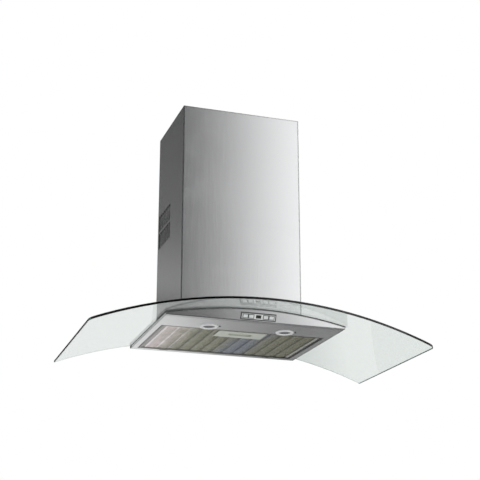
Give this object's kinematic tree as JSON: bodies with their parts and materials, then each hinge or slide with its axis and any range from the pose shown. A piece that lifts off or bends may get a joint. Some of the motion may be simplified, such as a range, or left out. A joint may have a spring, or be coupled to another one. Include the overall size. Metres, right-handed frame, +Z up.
{
  "type": "range hood",
  "caption": "Wall-mounted chimney range hood with a bent glass canopy, leaning control panel, hinged grease filter and sliding chimney cover.",
  "frame": {"origin": "on the wall plane, at the middle of the bottom edge of the body's back", "axes": "+X to the right along the canopy as seen from the room, +Y into the wall, +Z up"},
  "size_m": [0.9, 0.485, 0.6896],
  "materials": {
    "glass_tinted": "clear float glass, 6 mm, polished edges",
    "stainless": "fine brushed stainless steel",
    "galvanised": "zinc-coated sheet",
    "aluminium_mesh": "expanded aluminium mesh",
    "aluminium_frame": "folded aluminium strip",
    "seal_rubber": "soft black rubber",
    "bezel_satin": "satin chrome",
    "lamp_glass": "frosted glass",
    "reflector": "bright aluminised dish",
    "ceramic_white": "matte white ceramic",
    "black_plastic": "matte black plastic",
    "button_metal": "satin metallised plastic",
    "display_glass": "dark smoked window",
    "board_green": "laminated circuit board",
    "screw_steel": "plated steel",
    "fan_plastic": "dark grey moulded plastic",
    "motor_steel": "laminated core steel",
    "copper_winding": "varnished copper winding and laminated core",
    "grey_plastic": "light grey moulded plastic"
  },
  "bodies": {
    "hood": {"glass_canopy": "glass_tinted", "glass_grommets": "seal_rubber", "glass_seal": "seal_rubber", "tower_seal": "seal_rubber", "body_shell": "stainless", "underside_plate": "stainless", "front_panel": "stainless", "lamp_bezel_left": "bezel_satin", "lamp_bezel_right": "bezel_satin", "lamp_lens_left": "lamp_glass", "lamp_lens_right": "lamp_glass", "lamp_reflector_left": "reflector", "lamp_reflector_right": "reflector", "lamp_capsule_left": "lamp_glass", "lamp_capsule_right": "lamp_glass", "lamp_holder_left": "ceramic_white", "lamp_holder_right": "ceramic_white", "lamp_screws": "screw_steel", "control_housing": "black_plastic", "control_plate": "stainless", "display_window": "display_glass", "control_board": "board_green", "motor_box": "galvanised", "clamp_screws": "screw_steel", "clamp_nuts": "screw_steel", "volute_back": "galvanised", "volute_front": "galvanised", "motor_housing": "galvanised", "motor_stator": "copper_winding", "motor_spider": "galvanised", "motor_screws": "screw_steel", "outlet_adapter": "fan_plastic", "outlet_collar": "fan_plastic", "collar_screws": "screw_steel", "flap_rod": "screw_steel", "terminal_box": "grey_plastic", "terminal_lid": "grey_plastic", "cable_gland": "black_plastic", "lamp_transformer": "copper_winding", "capacitor": "grey_plastic", "chimney_cover": "stainless", "chimney_seal": "seal_rubber", "rest_brackets": "galvanised", "chimney_screws": "screw_steel"},
    "fan": {"impeller": "fan_plastic", "motor_rotor": "motor_steel"},
    "left_flap": {"flap_left": "fan_plastic"},
    "right_flap": {"flap_right": "fan_plastic"},
    "filter": {"filter_frame": "aluminium_frame", "filter_mesh": "aluminium_mesh", "latch_plate": "stainless"},
    "latch": {"latch_slider": "stainless"},
    "upper_chimney": {"chimney_extension": "stainless", "chimney_bracket": "galvanised", "bracket_screws": "screw_steel"},
    "lamp_key": {"button_lamp": "button_metal"},
    "off_key": {"button_off": "button_metal"},
    "slower_key": {"button_slower": "button_metal"},
    "faster_key": {"button_faster": "button_metal"}
  },
  "joints": [
    {"name": "fan_spin", "type": "hinge", "parent": "hood", "child": "fan", "pos_m": [-0.02, -0.12, 0.205], "axis": [0, 1, 0], "continuous": true},
    {"name": "left_flap_hinge", "type": "hinge", "parent": "hood", "child": "left_flap", "pos_m": [0, -0.12, 0.3995], "axis": [0, 1, 0], "range_deg": [0, 75]},
    {"name": "right_flap_hinge", "type": "hinge", "parent": "hood", "child": "right_flap", "pos_m": [0, -0.12, 0.3995], "axis": [0, -1, 0], "range_deg": [0, 75]},
    {"name": "filter_hinge", "type": "hinge", "parent": "hood", "child": "filter", "pos_m": [0, -0.0147, 0.0023], "axis": [1, 0, 0], "range_deg": [0, 60]},
    {"name": "latch_slide", "type": "slide", "parent": "filter", "child": "latch", "axis": [0, 1, 0], "range_m": [0, 0.007], "stiffness_N_per_m": 300},
    {"name": "chimney_slide", "type": "slide", "parent": "hood", "child": "upper_chimney", "axis": [0, 0, 1], "range_m": [0, 0.38]},
    {"name": "lamp_press", "type": "slide", "parent": "hood", "child": "lamp_key", "axis": [0, 0.9085, 0.4179], "range_m": [0, 0.0012], "stiffness_N_per_m": 400},
    {"name": "off_press", "type": "slide", "parent": "hood", "child": "off_key", "axis": [0, 0.9085, 0.4179], "range_m": [0, 0.0012], "stiffness_N_per_m": 400},
    {"name": "slower_press", "type": "slide", "parent": "hood", "child": "slower_key", "axis": [0, 0.9085, 0.4179], "range_m": [0, 0.0012], "stiffness_N_per_m": 400},
    {"name": "faster_press", "type": "slide", "parent": "hood", "child": "faster_key", "axis": [0, 0.9085, 0.4179], "range_m": [0, 0.0012], "stiffness_N_per_m": 400}
  ]
}
